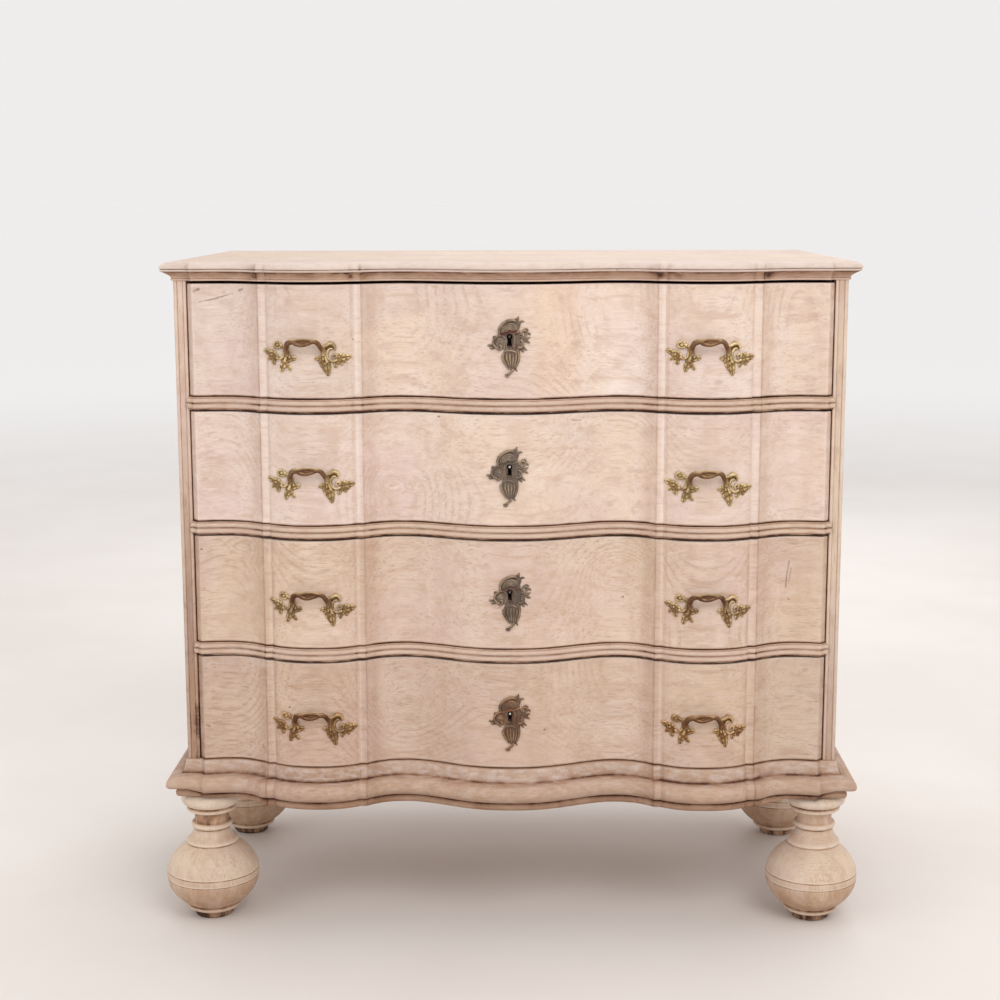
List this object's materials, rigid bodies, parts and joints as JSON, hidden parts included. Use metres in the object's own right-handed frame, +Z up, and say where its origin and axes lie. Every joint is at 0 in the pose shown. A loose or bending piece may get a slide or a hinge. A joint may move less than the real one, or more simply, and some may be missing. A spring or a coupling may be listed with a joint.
{
  "type": "serpentine commode",
  "caption": "Chest of drawers with a serpentine front, beaded rails, moulded top and base, cast brass pulls, keyhole plates and turned ball feet.",
  "frame": {"origin": "on the floor, midway between the left and right balls and midway between the front of the base moulding and the back edge of the top", "axes": "+Z up, the drawers face -Y, +X to the right as seen from the front"},
  "size_m": [1.1544, 0.6638, 1.091],
  "materials": {
    "oak": "bleached oak, dry, lightly waxed",
    "oak_moulding": "bleached oak mouldings with dark residue in the quirks",
    "turned_oak": "turned bleached oak",
    "inner_wood": "unfinished aged pine and oak",
    "pull_brass": "cast brass with dull olive patina",
    "escutcheon_bronze": "cast, darkened, brassy on the ridges",
    "lock_iron": "dark forged iron"
  },
  "bodies": {
    "case": {"top_board": "oak", "top_rail_cove": "oak_moulding", "top_moulding_sides": "oak_moulding", "side_panel_left": "oak", "side_panel_right": "oak", "stile_left": "oak_moulding", "stile_right": "oak_moulding", "rail_upper": "oak_moulding", "rail_middle": "oak_moulding", "rail_lower": "oak_moulding", "bottom_board": "inner_wood", "back_boards": "inner_wood", "drawer_runners": "inner_wood", "base_moulding_front": "oak", "base_moulding_sides": "oak", "foot_blocks": "inner_wood", "foot_front_left": "turned_oak", "foot_front_right": "turned_oak", "foot_rear_left": "turned_oak", "foot_rear_right": "turned_oak"},
    "drawer_1": {"drawer_1_front": "oak", "drawer_1_sides": "inner_wood", "drawer_1_back": "inner_wood", "drawer_1_bottom": "inner_wood", "drawer_1_pull_left": "pull_brass", "drawer_1_pull_right": "pull_brass", "drawer_1_pull_nuts": "pull_brass", "drawer_1_escutcheon": "escutcheon_bronze", "drawer_1_lock": "lock_iron"},
    "lock_bolt_1": {"drawer_1_lock_bolt": "lock_iron"},
    "drawer_2": {"drawer_2_front": "oak", "drawer_2_sides": "inner_wood", "drawer_2_back": "inner_wood", "drawer_2_bottom": "inner_wood", "drawer_2_pull_left": "pull_brass", "drawer_2_pull_right": "pull_brass", "drawer_2_pull_nuts": "pull_brass", "drawer_2_escutcheon": "escutcheon_bronze", "drawer_2_lock": "lock_iron"},
    "lock_bolt_2": {"drawer_2_lock_bolt": "lock_iron"},
    "drawer_3": {"drawer_3_front": "oak", "drawer_3_sides": "inner_wood", "drawer_3_back": "inner_wood", "drawer_3_bottom": "inner_wood", "drawer_3_pull_left": "pull_brass", "drawer_3_pull_right": "pull_brass", "drawer_3_pull_nuts": "pull_brass", "drawer_3_escutcheon": "escutcheon_bronze", "drawer_3_lock": "lock_iron"},
    "lock_bolt_3": {"drawer_3_lock_bolt": "lock_iron"},
    "drawer_4": {"drawer_4_front": "oak", "drawer_4_sides": "inner_wood", "drawer_4_back": "inner_wood", "drawer_4_bottom": "inner_wood", "drawer_4_pull_left": "pull_brass", "drawer_4_pull_right": "pull_brass", "drawer_4_pull_nuts": "pull_brass", "drawer_4_escutcheon": "escutcheon_bronze", "drawer_4_lock": "lock_iron"},
    "lock_bolt_4": {"drawer_4_lock_bolt": "lock_iron"}
  },
  "joints": [
    {"name": "drawer_1_slide", "type": "slide", "parent": "case", "child": "drawer_1", "axis": [0, -1, 0], "range_m": [0, 0.4]},
    {"name": "drawer_2_slide", "type": "slide", "parent": "case", "child": "drawer_2", "axis": [0, -1, 0], "range_m": [0, 0.4]},
    {"name": "drawer_3_slide", "type": "slide", "parent": "case", "child": "drawer_3", "axis": [0, -1, 0], "range_m": [0, 0.4]},
    {"name": "drawer_4_slide", "type": "slide", "parent": "case", "child": "drawer_4", "axis": [0, -1, 0], "range_m": [0, 0.4]},
    {"name": "lock_bolt_1_throw", "type": "slide", "parent": "drawer_1", "child": "lock_bolt_1", "axis": [0, 0, 1], "range_m": [0, 0.011]},
    {"name": "lock_bolt_2_throw", "type": "slide", "parent": "drawer_2", "child": "lock_bolt_2", "axis": [0, 0, 1], "range_m": [0, 0.011]},
    {"name": "lock_bolt_3_throw", "type": "slide", "parent": "drawer_3", "child": "lock_bolt_3", "axis": [0, 0, 1], "range_m": [0, 0.011]},
    {"name": "lock_bolt_4_throw", "type": "slide", "parent": "drawer_4", "child": "lock_bolt_4", "axis": [0, 0, 1], "range_m": [0, 0.011]}
  ]
}
